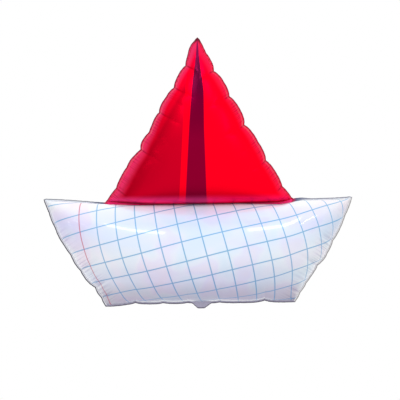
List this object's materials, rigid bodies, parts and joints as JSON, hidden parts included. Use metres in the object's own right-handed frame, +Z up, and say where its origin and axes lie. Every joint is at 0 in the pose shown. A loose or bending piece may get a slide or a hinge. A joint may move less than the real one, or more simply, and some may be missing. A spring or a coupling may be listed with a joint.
{
  "type": "sailboat-shaped foil balloon",
  "caption": "Inflated foil balloon in the shape of a folded paper sailboat, with a round hull, a three-cornered sail and a tail to tie it by.",
  "frame": {"origin": "middle of the tail's lower edge, in the plane of the seams, where the balloon is tied and held", "axes": "+X along the boat, to the right as the printed front is seen; +Y from the front to the back; +Z up, from the tail to the tip of the sail"},
  "size_m": [0.7992, 0.2502, 0.7027],
  "materials": {
    "film": "metallised gloss"
  },
  "bodies": {
    "root": {"foil_envelope": "film"}
  },
  "joints": []
}
